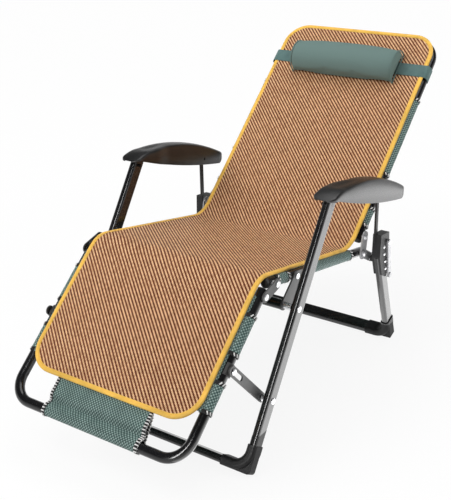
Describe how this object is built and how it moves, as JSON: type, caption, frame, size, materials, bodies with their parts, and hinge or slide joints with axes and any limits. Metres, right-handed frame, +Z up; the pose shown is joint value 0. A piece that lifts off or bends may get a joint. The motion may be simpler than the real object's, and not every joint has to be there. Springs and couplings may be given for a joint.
{
  "type": "zero gravity chair",
  "caption": "Folding zero gravity lounge chair with a bent steel tube frame, sling, woven mat, strapped head pillow and moulded armrests; it reclines and folds.",
  "frame": {"origin": "on the floor, midway between the chair's ends and its sides", "axes": "+X across the chair to the sitter's left, +Y from the feet to the head, +Z up"},
  "size_m": [0.68, 1.4274, 0.8542],
  "materials": {
    "black_paint": "gloss black powder coat",
    "dark_plate": "satin black paint",
    "grey_steel": "dull grey plate",
    "bright_steel": "bright zinc",
    "black_plastic": "satin black moulding",
    "green_sling": "woven mesh, dark green",
    "woven_mat": "tan twill weave with orange binding",
    "grey_green_cloth": "plain grey-green cloth"
  },
  "bodies": {
    "seat": {"seat_rail_left": "black_paint", "seat_rail_right": "black_paint", "seat_bracket_left": "black_paint", "seat_bracket_right": "black_paint", "hip_plate_left": "dark_plate", "hip_plate_right": "dark_plate", "knee_plate_left": "dark_plate", "knee_plate_right": "dark_plate", "rear_stay_left": "grey_steel", "rear_stay_right": "grey_steel", "seat_cross_tube": "black_paint", "seat_rivets": "bright_steel", "hip_pins": "bright_steel", "knee_pins": "bright_steel", "sling_seat": "green_sling", "mat_seat": "woven_mat", "mat_knee_bend": "woven_mat", "mat_hip_bend": "woven_mat"},
    "front_frame": {"front_leg_left": "black_paint", "front_leg_right": "black_paint", "front_shoe_left": "black_plastic", "front_shoe_right": "black_plastic", "front_floor_bar": "black_paint", "seat_bolts": "bright_steel", "link_bolts": "bright_steel"},
    "arms": {"armrest_left": "black_plastic", "armrest_right": "black_plastic", "arm_front_bolts": "bright_steel", "arm_rear_bolts": "bright_steel"},
    "rear_frame": {"rear_leg_left": "black_paint", "rear_leg_right": "black_paint", "rear_shoe_left": "black_plastic", "rear_shoe_right": "black_plastic", "lock_housing_left": "black_plastic", "lock_housing_right": "black_plastic", "rear_strut_left": "black_paint", "rear_strut_right": "black_paint", "lock_knob_left": "black_plastic", "lock_knob_right": "black_plastic", "rear_floor_bar": "black_paint", "lever_pins": "bright_steel"},
    "lever_left": {"lock_lever_left": "black_plastic"},
    "lever_right": {"lock_lever_right": "black_plastic"},
    "footrest": {"footrest_frame": "black_paint", "sling_footrest": "green_sling", "mat_footrest": "woven_mat", "link_collar_left": "grey_steel", "link_collar_right": "grey_steel"},
    "foot_links": {"foot_link_left": "grey_steel", "foot_link_right": "grey_steel"},
    "back": {"back_frame": "black_paint", "sling_back": "green_sling", "mat_back": "woven_mat"},
    "pillow": {"pillow": "grey_green_cloth", "pillow_strap": "grey_green_cloth"}
  },
  "joints": [
    {"name": "fold", "type": "hinge", "parent": "seat", "child": "front_frame", "pos_m": [0, -0.26858, 0.35816], "axis": [-1, 0, 0], "range_deg": [0, 49]},
    {"name": "arm_swing", "type": "hinge", "parent": "front_frame", "child": "arms", "pos_m": [0, -0.10561, 0.578], "axis": [1, 0, 0], "range_deg": [0, 52.08]},
    {"name": "rear_swing", "type": "hinge", "parent": "arms", "child": "rear_frame", "pos_m": [0, 0.20114, 0.512], "axis": [-1, 0, 0], "range_deg": [0, 86.47]},
    {"name": "footrest_swing", "type": "hinge", "parent": "seat", "child": "footrest", "pos_m": [0, -0.36498, 0.42301], "axis": [-1, 0, 0], "range_deg": [0, 50.36], "deforming": ["mat_knee_bend"]},
    {"name": "foot_link_swing", "type": "hinge", "parent": "front_frame", "child": "foot_links", "pos_m": [0, -0.39289, 0.16], "axis": [1, 0, 0], "range_deg": [0, 31.31]},
    {"name": "back_recline", "type": "hinge", "parent": "seat", "child": "back", "pos_m": [0, 0.18615, 0.37607], "axis": [1, 0, 0], "range_deg": [-30, 110], "deforming": ["mat_hip_bend"]},
    {"name": "pillow_slide", "type": "slide", "parent": "back", "child": "pillow", "axis": [0, 0.749, 0.6626], "range_m": [-0.05, 0.02]},
    {"name": "lever_left_swing", "type": "hinge", "parent": "rear_frame", "child": "lever_left", "pos_m": [0, 0.24014, 0.352], "axis": [1, 0, 0], "range_deg": [0, 50]},
    {"name": "lever_right_swing", "type": "hinge", "parent": "rear_frame", "child": "lever_right", "pos_m": [0, 0.24014, 0.352], "axis": [1, 0, 0], "range_deg": [0, 50]}
  ],
  "couplings": [
    {"joint": "arm_swing", "follows": "fold", "ratio": 1.0526},
    {"joint": "rear_swing", "follows": "fold", "ratio": 1.7544},
    {"joint": "footrest_swing", "follows": "fold", "ratio": 1.0175},
    {"joint": "foot_link_swing", "follows": "fold", "ratio": 0.62877}
  ]
}
